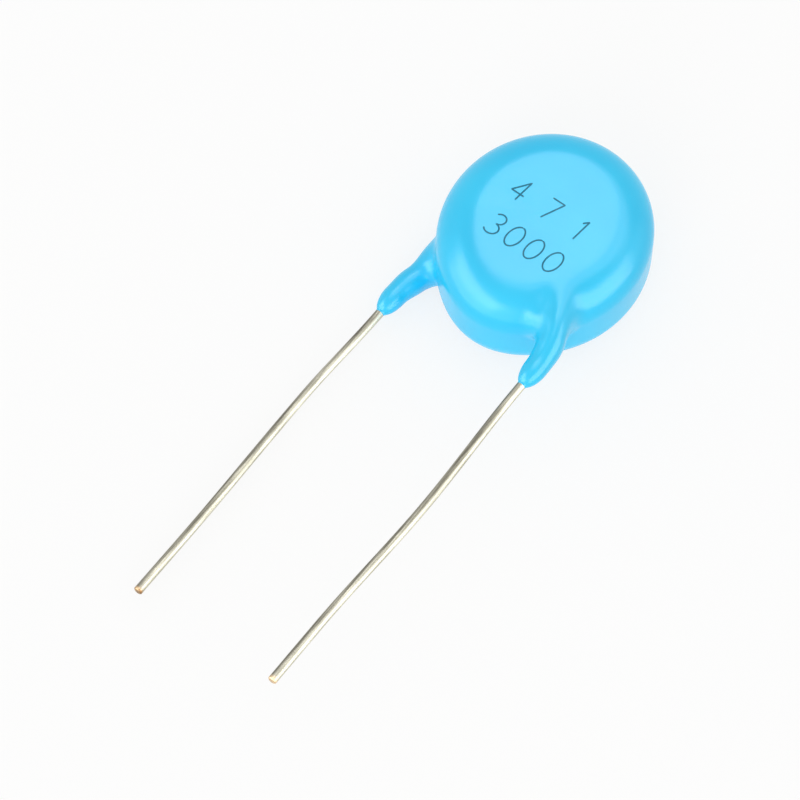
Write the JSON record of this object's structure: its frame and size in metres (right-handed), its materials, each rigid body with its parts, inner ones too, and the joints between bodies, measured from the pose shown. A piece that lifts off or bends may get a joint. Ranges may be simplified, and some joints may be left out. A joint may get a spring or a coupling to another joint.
{
  "type": "disc ceramic capacitor",
  "caption": "Thick round disc capacitor dipped in glossy epoxy, with coated legs and long straight radial wire leads.",
  "frame": {"origin": "middle of the flat back face, on which the part lies", "axes": "+Z out of the marked front face, -Y along the leads, +X towards the front lead"},
  "size_m": [0.0148, 0.0465, 0.0076],
  "materials": {
    "epoxy": "glossy dipped epoxy, sky blue",
    "ceramic": "fired ceramic, matte",
    "silver": "fired silver, satin",
    "solder": "solder, satin",
    "wire": "tinned copper wire, bright with faint drawing lines"
  },
  "bodies": {
    "root": {"epoxy_coat": "epoxy", "ceramic_disc": "ceramic", "front_electrode": "silver", "back_electrode": "silver", "front_solder": "solder", "back_solder": "solder", "front_lead": "wire", "back_lead": "wire"}
  },
  "joints": []
}
